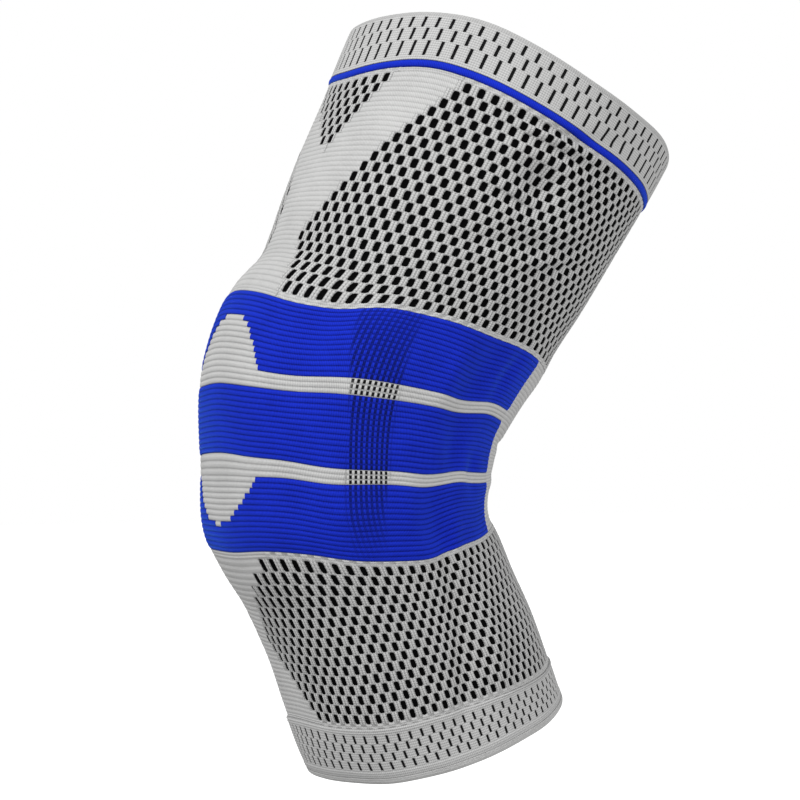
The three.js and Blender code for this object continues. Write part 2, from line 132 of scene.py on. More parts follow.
# Edges of the plain front panels: share of the panel's height, left angle, right angle
THIGH_FRONT_EDGES = (
    (0, -22, 25),
    (0.12, -16, 19),
    (0.3, -10, 14),
    (0.42, -9, 21),
    (0.58, -12, 31),
    (0.7, -21, 36),
    (0.8, -30, 42),
    (0.92, -38, 48),
    (1, -43, 52),
)
CALF_FRONT_EDGES = (
    (0, -42, 18),
    (0.28, -28, 6),
    (0.5, -22, -2),
    (0.8, -26, 8),
    (1, -36, 29),
)

# Folds and dents: reach, along as a share of it, angle, turn from the leg's axis, length and width as
# shares of the knee's radius, and depth as a share of KNIT_FOLD_DEPTH, where a negative depth is a ridge
FOLDS = (
    (THIGH_REACH, 0.69, 90, 0, 0.17, 0.17, 1),
    (THIGH_REACH, 0.79, 90, 78, 0.32, 0.06, 0.5),
    (THIGH_REACH, 0.75, 82, 70, 0.3, 0.06, -0.35),
    (THIGH_REACH, 0.58, 104, 60, 0.3, 0.08, 0.4),
    (THIGH_REACH, 0.66, 112, 25, 0.4, 0.1, -0.35),
    (THIGH_REACH, 0.21, 108, 6, 0.36, 0.11, 0.5),
    (THIGH_REACH, 0.12, 49, 10, 0.3, 0.13, 0.35),
    (CALF_REACH, -0.04, 108, 0, 0.24, 0.09, 0.5),
    (CALF_REACH, -0.29, 99, 0, 0.32, 0.11, 0.5),
    (CALF_REACH, -0.6, 94, 16, 0.55, 0.11, 0.6),
    (THIGH_REACH, 0.02, 66, 0, 0.95, 0.15, -0.35),
    (THIGH_REACH, 0.02, -66, 0, 0.95, 0.15, -0.35),
    (THIGH_REACH, 0.18, -107, -6, 0.34, 0.11, 0.5),
    (CALF_REACH, -0.22, -101, 0, 0.3, 0.11, 0.45),
    (CALF_REACH, -0.64, -98, -14, 0.5, 0.11, 0.5),
    (THIGH_REACH, 0.6, -112, -30, 0.36, 0.12, 0.45),
    (THIGH_REACH, 0.08, 178, 90, 0.5, 0.1, 0.5),
    (CALF_REACH, -0.18, 183, 90, 0.5, 0.1, 0.5),
)

# Finer wrinkles that only the knit shows, in the same columns, and how deep the knit shows them all
KNIT_FOLD_DEPTH = 4
WRINKLES = (
    (THIGH_REACH, 0.69, 90, 0, 0.3, 0.3, -0.3),
    (THIGH_REACH, 0.69, 90, 0, 0.16, 0.16, 0.35),
    (THIGH_REACH, 0.83, 84, 76, 0.3, 0.035, 0.45),
    (THIGH_REACH, 0.81, 86, 78, 0.3, 0.035, -0.35),
    (THIGH_REACH, 0.62, 84, 80, 0.2, 0.035, 0.35),
    (THIGH_REACH, 0.64, 84, 78, 0.2, 0.035, -0.25),
    (THIGH_REACH, 0.55, 112, 50, 0.34, 0.05, 0.45),
    (THIGH_REACH, 0.59, 116, 50, 0.34, 0.05, -0.3),
    (THIGH_REACH, 0.5, 84, 60, 0.26, 0.06, 0.25),
    (THIGH_REACH, 0.9, 104, 60, 0.22, 0.05, 0.25),
    (CALF_REACH, -0.44, 104, 14, 0.3, 0.06, -0.4),
    (CALF_REACH, -0.5, 84, -12, 0.3, 0.06, 0.3),
    (CALF_REACH, -0.76, 86, 20, 0.3, 0.06, 0.3),
    (CALF_REACH, -0.72, 106, 12, 0.34, 0.08, -0.4),
    (THIGH_REACH, 0.26, 120, 4, 0.24, 0.06, 0.4),
    (THIGH_REACH, 0.16, 96, 0, 0.3, 0.08, -0.3),
    (CALF_REACH, -0.12, 120, 0, 0.2, 0.06, 0.4),
    (CALF_REACH, -0.24, 86, 0, 0.3, 0.08, -0.3),
    (THIGH_REACH, 0.83, -84, -70, 0.28, 0.05, 0.4),
    (THIGH_REACH, 0.72, -96, -60, 0.3, 0.05, 0.3),
    (CALF_REACH, -0.5, -104, -10, 0.3, 0.06, -0.35),
)

# Where folds pull the knit up or down the leg: reach, along as a share of it, angle, length as a share of
# the knee's radius, width in degrees, and the pull as a share of KNIT_FOLD_DEPTH
PULLS = (
    (THIGH_REACH, 0.1, 106, 0.5, 10, -0.45),
    (THIGH_REACH, 0.12, 122, 0.5, 8, 0.2),
    (THIGH_REACH, 0.2, 66, 0.4, 12, 0.25),
    (CALF_REACH, -0.2, 112, 0.5, 9, 0.4),
    (CALF_REACH, -0.24, 94, 0.4, 8, -0.3),
    (CALF_REACH, -0.28, 60, 0.4, 12, -0.2),
    (THIGH_REACH, 0.77, 90, 0.14, 9, 0.5),
    (THIGH_REACH, 0.61, 90, 0.14, 9, -0.5),
    (CALF_REACH, -0.6, 100, 0.4, 9, 0.4),
)

# The knit's unevenness: waves round the leg, their turn along it in radians a millimetre, and their size
SWAYS = (
    (5, 0.05, 0.18),
    (9, -0.08, 0.1),
    (14, 0.13, 0.05),
)

# The knit's grid. Its wales lie a little closer at the front, the sides and the back than between them.
WALES = 304
WALE_ANGLE = 360 / WALES
WALE_CROWDING = 0.65
CROWDED_PLACES = 4
BAND_END = 113

# How far a knit face stays inside its zone's ends
SEAM = 0.02

# The slots of a piece's materials, its UV map, and the angle from which an edge looks sharp
OUTER, LINING, TRIM = 0, 1, 2
KNIT_MAP = "knit"
SHARP_ANGLE = 62


def mix(low, high, share):
    return low + (high - low) * share


def through(places, values, x):
    """A smooth curve through points with growing places, flat at neither end."""
    places = np.asarray(places, float)
    values = np.asarray(values, float)
    gaps = np.diff(places)
    slopes = np.diff(values) / gaps
    inner = (slopes[:-1] * gaps[1:] + slopes[1:] * gaps[:-1]) / (gaps[:-1] + gaps[1:])
    tangents = np.concatenate([slopes[:1], inner, slopes[-1:]])
    x = np.clip(x, places[0], places[-1])
    k = np.clip(np.searchsorted(places, x) - 1, 0, len(gaps) - 1)
    h = gaps[k]
    t = (x - places[k]) / h
    start = values[k] * (2 * t**3 - 3 * t**2 + 1) + tangents[k] * h * (t**3 - 2 * t**2 + t)
    end = values[k + 1] * (3 * t**2 - 2 * t**3) + tangents[k + 1] * h * (t**3 - t**2)
    return start + end


def column(table, number):
    return [row[number] for row in table]


# The leg's form
STATIONS = [reach * along for reach, along, *_ in SECTIONS]
FRONTS = [radius * front for _, _, radius, front, _, _ in SECTIONS]
BACKS = [radius * back for _, _, radius, _, back, _ in SECTIONS]
SIDES = [radius * side for _, _, radius, _, _, side in SECTIONS]


def lean_at(along):
    """The leg's lean in radians: forward below the knee, back above it."""
    low = -BEND_BELOW * KNEE_RADIUS
    high = BEND_ABOVE * KNEE_RADIUS
    share = np.clip((along - low) / (high - low), 0, 1)
    return np.radians(mix(-CALF_LEAN, THIGH_LEAN, share * share * (3 - 2 * share)))


AXIS_STEP = 0.5
AXIS_SPAN = 200
AXIS_ALONG = np.arange(-AXIS_SPAN, AXIS_SPAN + AXIS_STEP, AXIS_STEP)
AXIS_LEAN = lean_at((AXIS_ALONG[:-1] + AXIS_ALONG[1:]) / 2)
AXIS_Y = np.concatenate([[0], np.cumsum(AXIS_STEP * np.sin(AXIS_LEAN))])
AXIS_Z = np.concatenate([[0], np.cumsum(AXIS_STEP * np.cos(AXIS_LEAN))])
AXIS_Y -= np.interp(0, AXIS_ALONG, AXIS_Y)
AXIS_Z -= np.interp(0, AXIS_ALONG, AXIS_Z)


def turned(angle):
    """An angle brought between -180 and 180."""
    return (angle + 180) % 360 - 180


def fold_depth(along, angle, radius):
    """How far the folds and wrinkles sink the surface."""
    depth = np.zeros(np.broadcast(along, angle).shape)
    for reach, share, middle, turn, length, width, sink in (*FOLDS, *WRINKLES):
        up = along - reach * share
        across = radius * np.radians(turned(angle - middle))
        cos, sin = math.cos(math.radians(turn)), math.sin(math.radians(turn))
        lengthwise = (up * cos + across * sin) / (length * KNEE_RADIUS)
        sideways = (across * cos - up * sin) / (width * KNEE_RADIUS)
        depth += sink * KNIT_FOLD_DEPTH * np.exp(-(lengthwise**2) - sideways**2)
    return depth


def pulled(along, angle):
    """Where a place along the leg comes to lie once the folds and the yarn have moved it."""
    shift = np.zeros(np.broadcast(along, angle).shape)
    for reach, share, middle, length, width, pull in PULLS:
        up = (along - reach * share) / (length * KNEE_RADIUS)
        across = turned(angle - middle) / width
        shift += pull * KNIT_FOLD_DEPTH * np.exp(-(up**2) - across**2)
    for waves, turn, size in SWAYS:
        shift += size * np.sin(waves * np.radians(angle) + turn * along)
    return along + shift


def place(along, angle, proud):
    """Points of the sleeve: proud is their height over the leg's form, negative inside it."""
    along = pulled(along, angle)
    turn = np.radians(angle)
    side = through(STATIONS, SIDES, along)
    deep = np.where(np.cos(turn) > 0, through(STATIONS, FRONTS, along), through(STATIONS, BACKS, along))
    radius = np.hypot(deep * np.cos(turn), side * np.sin(turn))
    grow = 1 + (proud - fold_depth(along, angle, side)) / radius
    forward = deep * np.cos(turn) * grow
    lean = lean_at(along)
    x = side * np.sin(turn) * grow
    y = np.interp(along, AXIS_ALONG, AXIS_Y) - forward * np.cos(lean)
    z = np.interp(along, AXIS_ALONG, AXIS_Z) + forward * np.sin(lean)
    return np.stack([x, y, z], axis=-1)


# Lines across the sleeve
def share_at(profile, angle):
    front, quarter, side, rear, back = profile
    places = PROFILE_STEP * np.arange(-1, 6)
    return through(places, (quarter, front, quarter, side, rear, back, rear), np.abs(turned(angle)))


def shifted(line, height, profile=None):
    """A line a zone's height over or under another one."""
    if profile is None:
        return lambda angle: line(angle) + height
    return lambda angle: line(angle) + height * share_at(profile, angle)


def top_rim(angle):
    return THIGH_REACH * share_at(TOP_RIM_PROFILE, angle)


def knee_line(angle):
    return -KNEE_LINE_DROP * KNEE_RADIUS * share_at(KNEE_LINE_PROFILE, angle)


def bottom_rim(angle):
    return -CALF_REACH * share_at(BOTTOM_RIM_PROFILE, angle)


stripe_top = shifted(top_rim, -TOP_CUFF_HEIGHT, TOP_CUFF_PROFILE)
stripe_bottom = shifted(stripe_top, -STRIPE_HEIGHT)
middle_band_top = shifted(knee_line, MIDDLE_BAND_HEIGHT, MIDDLE_BAND_PROFILE)
upper_divider_top = shifted(middle_band_top, UPPER_DIVIDER_HEIGHT, UPPER_DIVIDER_PROFILE)
upper_band_top = shifted(upper_divider_top, UPPER_BAND_HEIGHT, UPPER_BAND_PROFILE)
lower_divider_bottom = shifted(knee_line, -LOWER_DIVIDER_HEIGHT, LOWER_DIVIDER_PROFILE)
lower_band_bottom = shifted(lower_divider_bottom, -LOWER_BAND_HEIGHT, LOWER_BAND_PROFILE)
hem_top = shifted(bottom_rim, HEM_HEIGHT)
bottom_cuff_top = shifted(hem_top, BOTTOM_CUFF_HEIGHT, BOTTOM_CUFF_PROFILE)


def dome_rise(rise, angle):
    return rise * (1 - np.minimum(1, np.abs(turned(angle - DOME_MIDDLE)) / DOME_HALF_ANGLE) ** DOME_POWER)


def inset_depth(angle):
    """How deep the inset's point hangs under the stripe."""
    angle = turned(angle)
    corner = np.where(angle < INSET_TIP, INSET_LEFT, INSET_RIGHT)
    return INSET_DEPTH * np.clip(1 - (angle - INSET_TIP) / (corner - INSET_TIP), 0, 1)


def angle_of(wale):
    """A wale's angle round the leg."""
    even = WALE_ANGLE * wale
    return even - WALE_CROWDING * np.sin(CROWDED_PLACES * np.radians(even))


class Zone:
    """A stretch of the sleeve on its grid of wales and rows.

    levels are (row, line) pairs from the bottom up, with rows spaced evenly between two lines. across and
    down are the places in a wale and in a row where the mesh has its points.
    """

    def __init__(self, levels, across, down, first=0, last=WALES):
        self.levels = levels
        self.rows = levels[-1][0]
        self.across = np.array(across)
        self.down = np.array(down)
        self.first = first
        self.last = last
        self.ring = last - first == WALES

    def along(self, wale, row):
        angle = angle_of(wale)
        height = self.levels[0][1](angle) + 0 * row
        for (low, below), (high, above) in zip(self.levels, self.levels[1:]):
            height = height + (above(angle) - below(angle)) * np.clip((row - low) / (high - low), 0, 1)
        return height

    def centres(self):
        """The wale, the row, the angle and the place along of each cell's middle."""
        wale = np.arange(self.first, self.last)[None, :] + 0.5
        row = np.arange(self.rows)[:, None] + 0.5
        return wale, row, turned(angle_of(wale)), self.along(wale, row)


class Faces:
    """The faces of a mesh in making, in groups of one number of corners each."""

    def __init__(self):
        self.corners = []
        self.places = []
        self.sizes = []
        self.slots = []

    def add(self, corners, slot):
        """corners is a list of (index, wale, row) arrays, one for each corner of the faces."""
        index, wale, row = (np.stack(values, axis=1) for values in zip(*corners))
        if not len(index):
            return
        self.corners.append(index.ravel())
        self.places.append(np.stack([wale, row], axis=2).reshape(-1, 2))
        self.sizes.append(np.full(len(index), index.shape[1]))
        self.slots.append(np.broadcast_to(slot, len(index)))


def woven(name, zone, cells, outer, inner, trim_rows=()):
    """A closed knitted wall over the chosen cells of a zone, as a mesh with a UV map in wales and rows.

    outer(wale, row) and inner(row) are the heights of its two faces over the leg's form.
    """
    lowest, highest = np.flatnonzero(cells.any(axis=1))[[0, -1]]
    count = zone.last - zone.first
    fine_wales = np.append((zone.first + np.arange(count)[:, None] + zone.across).ravel(), zone.last)
    fine_rows = np.append((np.arange(lowest, highest + 1)[:, None] + zone.down).ravel(), highest + 1)
    plain_wales = np.arange(zone.first, zone.last + 1)
    plain_rows = np.arange(lowest, highest + 2)

    def surface(wales, rows, proud):
        wale, row = np.meshgrid(wales.astype(float), rows.astype(float))
        along = zone.along(wale, row)
        angle = angle_of(wale)
        low, high = zone.levels[0][1](angle), zone.levels[-1][1](angle)
        along = np.clip(along, low + SEAM, high - SEAM)
        return place(along, angle, proud(wale, row)).reshape(-1, 3)

    points = np.concatenate([
        surface(fine_wales, fine_rows, outer),
        surface(plain_wales, plain_rows, lambda wale, row: inner(row)),
    ])
    fine_width, plain_width = len(fine_wales), len(plain_wales)
    inner_start = fine_width * len(fine_rows)

    def out(j, i):
        index = j * fine_width + (i % (fine_width - 1) if zone.ring else i)
        return index, fine_wales[i], fine_rows[j]

    def into(r, w):
        index = inner_start + r * plain_width + (w % count if zone.ring else w)
        return index, plain_wales[w], plain_rows[r]

    across, down = len(zone.across), len(zone.down)
    cells = cells[lowest:highest + 1]
    slot_of_row = np.array([TRIM if row in trim_rows else OUTER for row in plain_rows[:-1]])
    faces = Faces()

    j, i = np.nonzero(np.repeat(np.repeat(cells, down, axis=0), across, axis=1))
    faces.add([out(j, i), out(j, i + 1), out(j + 1, i + 1), out(j + 1, i)], slot_of_row[j // down])
    r, w = np.nonzero(cells)
    faces.add([into(r, w + 1), into(r, w), into(r + 1, w), into(r + 1, w + 1)], LINING)

    def rim(step_row, step_wale):
        """The cells with nothing beside them on one side."""
        padded = np.pad(cells, 1)
        if zone.ring:
            padded[:, 0], padded[:, -1] = padded[:, -2], padded[:, 1]
        last_row, last_wale = padded.shape[0] - 1, padded.shape[1] - 1
        beside = padded[1 + step_row:last_row + step_row, 1 + step_wale:last_wale + step_wale]
        return np.nonzero(cells & ~beside)

    r, w = rim(-1, 0)
    edge = [out(r * down, w * across + k) for k in range(across, -1, -1)]
    faces.add([*edge, into(r, w), into(r, w + 1)], slot_of_row[r])
    r, w = rim(1, 0)
    edge = [out((r + 1) * down, w * across + k) for k in range(across + 1)]
    faces.add([*edge, into(r + 1, w + 1), into(r + 1, w)], slot_of_row[r])
    r, w = rim(0, -1)
    edge = [out(r * down + k, w * across) for k in range(down + 1)]
    faces.add([into(r, w), *edge, into(r + 1, w)], slot_of_row[r])
    r, w = rim(0, 1)
    edge = [out(r * down + k, (w + 1) * across) for k in range(down, -1, -1)]
    faces.add([into(r, w + 1), into(r + 1, w + 1), *edge], slot_of_row[r])
    return mesh_of(name, points, faces)


def mesh_of(name, points, faces):
    """A piece of the scene with the given faces, its seams and rims sharp and the rest smooth."""
    used, corners = np.unique(np.concatenate(faces.corners), return_inverse=True)
    sizes = np.concatenate(faces.sizes)
    mesh = bpy.data.meshes.new(name)
    mesh.vertices.add(len(used))
    mesh.vertices.foreach_set("co", (points[used] * MM).astype(np.float32).ravel())
    mesh.loops.add(len(corners))
    mesh.loops.foreach_set("vertex_index", corners.astype(np.int32).ravel())
    mesh.polygons.add(len(sizes))
    mesh.polygons.foreach_set("loop_start", np.concatenate([[0], np.cumsum(sizes)[:-1]]).astype(np.int32))
    mesh.polygons.foreach_set("material_index", np.concatenate(faces.slots).astype(np.int32))
    chart = np.concatenate(faces.places).astype(np.float32)
    mesh.uv_layers.new(name=KNIT_MAP).uv.foreach_set("vector", chart.ravel())
    mesh.update(calc_edges=True)
    mesh.validate()
    mesh.shade_smooth()
    mesh.set_sharp_from_angle(angle=math.radians(SHARP_ANGLE))
    piece = bpy.data.objects.new(name, mesh)
    bpy.context.scene.collection.objects.link(piece)
    return piece


# Relief of each knit, in millimetres
CELL_SINK = 0.42
CELL_PUFF = 0.16
WALE_RELIEF = 0.12
RIB_RELIEF = 0.16
BAND_RELIEF = 0.24
CUFF_WALE_RELIEF = 0.07
CUFF_COURSE_RELIEF = 0.05
WELT_HEIGHT = 0.25
DASH_SINK = 0.3

# How sharp the furrows are: like a sine's at 1, and sharper the smaller the number is
WALE_SHARPNESS = 0.6
RIB_SHARPNESS = 0.7

# Where a cell's relief slopes, as shares of the cell's width and height
CELL_SIDE_SLOPE = 0.12
CELL_END_SLOPE = 0.14

# The cuffs' dashes, in wales across and in rows along, and how wide a welt is in rows
DASH_PERIOD = 4
DASH_HALF_WIDTH = 0.44
DASH_SUNK_HALF_WIDTH = 0.55
DASH_SIDE_SLOPE = 0.3
DASH_SUNK_PAST_END = 0.3
DASH_END_SLOPE = 0.5
WELT_WIDTH = 0.5


def ridge(x, sharpness):
    """1 halfway between two whole numbers and 0 on them."""
    return np.abs(np.sin(np.pi * x)) ** sharpness


def rise(x, slope):
    """0 on a whole number, 1 once past the slope on either side of it."""
    return np.clip((0.5 - np.abs(x % 1 - 0.5)) / slope, 0, 1)


def checker_relief(wale, row):
    """Dark cells two wales wide and a row high lie deep, and the pale cells between them puff out."""
    dark = (np.floor(wale / 2) + np.floor(row)) % 2 == 0
    cell = rise(wale / 2, CELL_SIDE_SLOPE) * rise(row, CELL_END_SLOPE)
    return WALE_RELIEF * ridge(wale, WALE_SHARPNESS) + cell * np.where(dark, -CELL_SINK, CELL_PUFF)


def rib_relief(per_row, height):
    """Ribs round the leg."""
    return lambda wale, row: height * ridge(row * per_row, RIB_SHARPNESS) - height / 2


def dash_relief(dashes, welts=()):
    """Short sunk dashes up the wales, in rows of (start, end), each row half a period on from the last.

    welts are the rows where a thin ridge runs round the cuff.
    """
    def relief(wale, row):
        height = CUFF_WALE_RELIEF * ridge(wale, WALE_SHARPNESS)
        height = height + CUFF_COURSE_RELIEF * ridge(row, WALE_SHARPNESS)
        for welt in welts:
            height = height + WELT_HEIGHT * np.clip(1 - np.abs(row - welt) / WELT_WIDTH, 0, 1)
        for number, (start, end) in enumerate(dashes):
            off = np.abs((wale / DASH_PERIOD + number / 2) % 1 - 0.5) * DASH_PERIOD
            sunk = np.clip((DASH_SUNK_HALF_WIDTH - off) / DASH_SIDE_SLOPE, 0, 1)
            for past in (row - start, end - row):
                sunk = sunk * np.clip((past + DASH_SUNK_PAST_END) / DASH_END_SLOPE, 0, 1)
            height = height - DASH_SINK * sunk
        return height
    return relief


# Materials
class Signal:
    """A number worked out in a material's node tree, so that formulas read as formulas."""

    def __init__(self, tree, socket):
        self.tree = tree
        self.socket = socket

    def apply(self, operation, *others):
        node = self.tree.nodes.new("ShaderNodeMath")
        node.operation = operation
        for entry, value in zip(node.inputs, (self, *others)):
            if isinstance(value, Signal):
                self.tree.links.new(value.socket, entry)
            else:
                entry.default_value = value
        return Signal(self.tree, node.outputs[0])

    def __add__(self, other):
        return self.apply("ADD", other)

    def __sub__(self, other):
        return self.apply("SUBTRACT", other)

    def __mul__(self, other):
        return self.apply("MULTIPLY", other)

    def __truediv__(self, other):
        return self.apply("DIVIDE", other)

    def __pow__(self, other):
        return self.apply("POWER", other)

    def other_way(self):
        """One minus the number."""
        return self * -1 + 1

    def floor(self):
        return self.apply("FLOOR")

    def part(self):
        return self.apply("FRACT")

    def size(self):
        return self.apply("ABSOLUTE")

    def root(self):
        return self.apply("SQRT")

    def under(self, other):
        return self.apply("LESS_THAN", other)

    def at_least(self, other):
        return self.apply("MAXIMUM", other)

    def from_middle(self):
        """0 halfway between two whole numbers, 1 on them."""
        return (self.part() - 0.5).size() * 2

    def ramp(self, low, high):
        """0 at low, 1 at high, and smooth between them."""
        node = self.tree.nodes.new("ShaderNodeMapRange")
        node.interpolation_type = "SMOOTHSTEP"
        node.inputs["From Min"].default_value = low
        node.inputs["From Max"].default_value = high
        self.tree.links.new(self.socket, node.inputs["Value"])
        return Signal(self.tree, node.outputs["Result"])


# The yarn: its unevenness as a noise's scale and detail, its fine relief in millimetres, and its gloss
MOTTLE_NOISE = (70, 2)
FIBRE_NOISE = (1900, 3)
FIBRE_RELIEF = 0.05
ROUGHNESS = 0.88
SHEEN_ROUGHNESS = 0.45


class Yarn:
    """A knit material in making."""

    def __init__(self, name):
        self.material = bpy.data.materials.new(name)
        self.material.use_nodes = True
        self.tree = self.material.node_tree
        self.shader = self.tree.nodes["Principled BSDF"]
        chart = self.tree.nodes.new("ShaderNodeUVMap")
        chart.uv_map = KNIT_MAP
        split = self.tree.nodes.new("ShaderNodeSeparateXYZ")
        self.tree.links.new(chart.outputs["UV"], split.inputs[0])
        self.wale = Signal(self.tree, split.outputs["X"])
        self.row = Signal(self.tree, split.outputs["Y"])
        self.body = self.tree.nodes.new("ShaderNodeTexCoord").outputs["Object"]
        self.mottle = self.noise(*MOTTLE_NOISE) - 0.5
        self.fibre = self.noise(*FIBRE_NOISE) - 0.5

    def noise(self, scale, detail):
        node = self.tree.nodes.new("ShaderNodeTexNoise")
        node.inputs["Scale"].default_value = scale
        node.inputs["Detail"].default_value = detail
        self.tree.links.new(self.body, node.inputs["Vector"])
        return Signal(self.tree, node.outputs["Fac"])

    def attribute(self, name):
        node = self.tree.nodes.new("ShaderNodeAttribute")
        node.attribute_name = name
        return Signal(self.tree, node.outputs["Fac"])

    def blend(self, share, low, high):
        """A colour between two colours, each a socket or three numbers."""
        node = self.tree.nodes.new("ShaderNodeMix")
        node.data_type = "RGBA"
        self.tree.links.new(share.socket, node.inputs["Factor"])
        for entry, colour in ((node.inputs["A"], low), (node.inputs["B"], high)):
            if isinstance(colour, tuple):
                entry.default_value = (*colour, 1)
            else:
                self.tree.links.new(colour, entry)
        return node.outputs["Result"]

    def furrows(self, first, second, shades, relief, mottle, fibre=0.5, level=1, power=2):
        """How light and how high a knit is that has two sets of furrows, each 1 in its furrows."""
        # Each set of furrows darkens the knit by its share of shades: painted shade. The mottle and the
        # fibre are the yarn's own uneven tone.
        light = first**power * -shades[0] + second**2 * -shades[1]
        light = light + self.mottle * mottle + self.fibre * fibre + level
        return light, first.other_way() * relief[0] + second.other_way() * relief[1]

    def finish(self, colour, height, sheen=0.08, specular=0.15, tint=(1, 1, 1)):
        """Sets the colour and the fine relief, in millimetres."""
        bump = self.tree.nodes.new("ShaderNodeBump")
        bump.inputs["Strength"].default_value = 1
        bump.inputs["Distance"].default_value = MM
        self.tree.links.new((height + self.fibre * FIBRE_RELIEF).socket, bump.inputs["Height"])
        self.tree.links.new(colour, self.shader.inputs["Base Color"])
        self.tree.links.new(bump.outputs["Normal"], self.shader.inputs["Normal"])
        self.shader.inputs["Roughness"].default_value = ROUGHNESS
        self.shader.inputs["Specular IOR Level"].default_value = specular
        self.shader.inputs["Sheen Weight"].default_value = sheen
        self.shader.inputs["Sheen Tint"].default_value = (*tint, 1)
        self.shader.inputs["Sheen Roughness"].default_value = SHEEN_ROUGHNESS
        return self.material


# The knits' colours, each followed by the darker colour that is painted into its furrows as shade
PALE = (0.56, 0.56, 0.555)
PALE_PAINTED_SHADE = (0.22, 0.22, 0.22)
PALE_INSIDE = (0.45, 0.45, 0.44)
BLUE = (0.009, 0.028, 0.55)
BLUE_PAINTED_SHADE = (0.002, 0.003, 0.1)
BLUE_GLOSS = {"sheen": 0.35, "specular": 0.06, "tint": (0.08, 0.3, 1)}
BLACK = (0.0022, 0.0022, 0.0025)
BLACK_PAINTED_SHADE = (0.001, 0.001, 0.001)

# A dark cell's outline, as shares of the cell, with how soft and how frayed its edge is
THIGH_CELL_HALF_WIDTH = 0.48
CALF_CELL_HALF_WIDTH = 0.45
CELL_HALF_HEIGHT = 0.465
CELL_CORNER = 0.25
CELL_EDGE = (0.02, -0.03)
CELL_FRAY = 0.12
LOOPS_PER_ROW = 4


def mesh_material(name, half_width):
    """Pale ribbed knit with a black cell at every other place, as on a chequerboard."""
    yarn = Yarn(name)
    cell = yarn.wale / 2
    dark_cell = ((cell.floor() + yarn.row.floor()) / 2).part().under(0.25)
    across = ((cell.part() - 0.5).size() - (half_width - CELL_CORNER)).at_least(0)
    up = ((yarn.row.part() - 0.5).size() - (CELL_HALF_HEIGHT - CELL_CORNER)).at_least(0)
    reach = (across * across + up * up).root() - CELL_CORNER + yarn.fibre * CELL_FRAY
    dark = reach.ramp(*CELL_EDGE) * dark_cell
    seam = yarn.wale.from_middle()
    loop = (yarn.row * LOOPS_PER_ROW + seam * 0.5).from_middle()
    # The pale yarn darkens in its seams and between its loops, and the black yarn between its loops:
    # painted shade.
    light, height = yarn.furrows(seam, loop, shades=(0.8, 0.6), relief=(0.1, 0.12), mottle=0.25, level=1.05)
    pale = yarn.blend(light, PALE_PAINTED_SHADE, PALE)
    black = yarn.blend(loop, BLACK, BLACK_PAINTED_SHADE)
    return yarn.finish(yarn.blend(dark, pale, black), height, sheen=0.01, specular=0.03)


# Stitches in the ribs, and the lines of black dashes over the stays, in degrees round the leg
STITCHES_PER_WALE = 2
STITCH_SLANT = 0.6
STAY_PITCH = 1.9
STAY_START = 64
STAY_LINE_EDGE = (0.62, 0.4)
STAY_DASH_EDGE = (0.86, 0.6)
STAY_SINK = 0.2


def rib_material(name, per_row, colour, deep, shade=0.4, stay=False, **gloss):
    """Ribs round the leg, each a line of small slanted stitches."""
    yarn = Yarn(name)
    rib = yarn.row * per_row
    groove = rib.from_middle()
    stitch = (yarn.wale * STITCHES_PER_WALE + rib.floor() * 0.5 + rib.part() * STITCH_SLANT).from_middle()
    # The colour darkens towards deep in the grooves and between the stitches, as much as shade says:
    # painted shade.
    shades = (shade, 0.42)
    light, height = yarn.furrows(groove, stitch, shades, relief=(0.12, 0.1), mottle=0.35, power=3)
    face = yarn.blend(light, deep, colour)
    if stay:
        line = ((yarn.wale * WALE_ANGLE - STAY_START) / STAY_PITCH).from_middle()
        dash = line.ramp(*STAY_LINE_EDGE) * groove.ramp(*STAY_DASH_EDGE) * yarn.attribute("stay")
        face = yarn.blend(dash, face, BLACK)
        height = height - dash * STAY_SINK
    return yarn.finish(face, height, **gloss)


# The cuffs' fine knit, and how soft, frayed and sunk the dashes' edges look
SEAMS_PER_WALE = 1.5
DASH_SIDE_EDGE = 0.05
DASH_END_EDGE = 0.1
DASH_SIDE_FRAY = 0.1
DASH_END_FRAY = 0.3
DASH_FINE_SINK = 0.15


def cuff_material(name, dashes):
    """A fine plain knit with rows of short black dashes."""
    yarn = Yarn(name)
    seam = (yarn.wale * SEAMS_PER_WALE).from_middle()
    course = yarn.row.from_middle()
    # The knit darkens in its seams and between its courses: painted shade.
    shades = (0.4, 0.55)
    light, height = yarn.furrows(seam, course, shades, relief=(0.07, 0.1), mottle=0.2, fibre=0.45)
    face = yarn.blend(light, PALE_PAINTED_SHADE, PALE)
    for number, (start, end) in enumerate(dashes):
        off = (yarn.wale / DASH_PERIOD + number / 2).from_middle() * (DASH_PERIOD / 2)
        off = off + yarn.fibre * DASH_SIDE_FRAY
        middle, half = (start + end) / 2, (end - start) / 2
        beyond = (yarn.row - middle).size() - half + yarn.fibre * DASH_END_FRAY
        beside = off.ramp(DASH_HALF_WIDTH + DASH_SIDE_EDGE, DASH_HALF_WIDTH - DASH_SIDE_EDGE)
        dash = beside * beyond.ramp(DASH_END_EDGE, -DASH_END_EDGE)
        face = yarn.blend(dash, face, BLACK)
        height = height - dash * DASH_FINE_SINK
    return yarn.finish(face, height)


# The loose black yarn on the inside: where it lies, how soft its edge is, and how well it covers
FLOAT_PLACE = (0.2, 0.3)
FLOAT_EDGE = (0.7, 0.4)
FLOAT_COVER = 0.7


def lining_material(name, checked):
    """The inside, where the black yarn lies loose behind a mesh's pale cells."""
    yarn = Yarn(name)
    seam = (yarn.wale * STITCHES_PER_WALE).from_middle()
    loop = (yarn.row * LOOPS_PER_ROW).from_middle()
    # The lining darkens in its seams and between its loops: painted shade.
    light, height = yarn.furrows(seam, loop, shades=(0.4, 0.25), relief=(0.1, 0.08), mottle=0.3)
    face = yarn.blend(light, PALE_PAINTED_SHADE, PALE_INSIDE)
    if checked:
        behind = (((yarn.wale / 2).floor() + yarn.row.floor()) / 2).part().ramp(*FLOAT_PLACE)
        face = yarn.blend(behind * seam.ramp(*FLOAT_EDGE) * FLOAT_COVER, face, BLACK)
    return yarn.finish(face, height)


